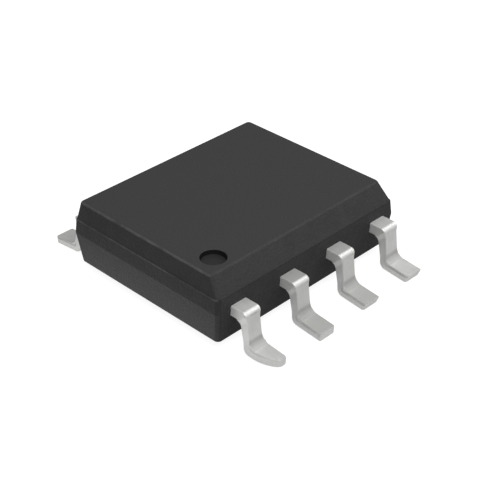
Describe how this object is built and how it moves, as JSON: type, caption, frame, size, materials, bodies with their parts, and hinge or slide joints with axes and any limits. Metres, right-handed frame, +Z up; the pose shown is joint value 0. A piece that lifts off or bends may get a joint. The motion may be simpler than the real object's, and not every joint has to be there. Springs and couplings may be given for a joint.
{
  "type": "small-outline surface-mount chip",
  "caption": "Black moulded chip with gull-wing leads along two sides, a long bevelled edge and a round index dimple; lead frame, die and bond wires are inside.",
  "frame": {"origin": "on the seating plane, under the middle of the body", "axes": "+X along the rows of leads, from pin 1 to pin 4; +Y across the rows, from the bevelled side with pins 1 to 4 to the side with pins 5 to 8; +Z up from the board"},
  "size_m": [0.0048, 0.006, 0.0015],
  "materials": {
    "compound": "matt black epoxy compound with a fine spark-eroded grain",
    "tinned_leads": "matt tin plate over copper alloy",
    "lead_frame": "bare copper alloy",
    "adhesive": "cured silver-filled epoxy",
    "silicon": "polished silicon",
    "gold": "drawn gold wire"
  },
  "bodies": {
    "root": {"body": "compound", "pin_1": "tinned_leads", "pin_2": "tinned_leads", "pin_3": "tinned_leads", "pin_4": "tinned_leads", "pin_5": "tinned_leads", "pin_6": "tinned_leads", "pin_7": "tinned_leads", "pin_8": "tinned_leads", "die_paddle": "lead_frame", "die_attach": "adhesive", "die": "silicon", "bond_wire_1": "gold", "bond_wire_2": "gold", "bond_wire_3": "gold", "bond_wire_4": "gold", "bond_wire_5": "gold", "bond_wire_6": "gold", "bond_wire_7": "gold", "bond_wire_8": "gold"}
  },
  "joints": []
}
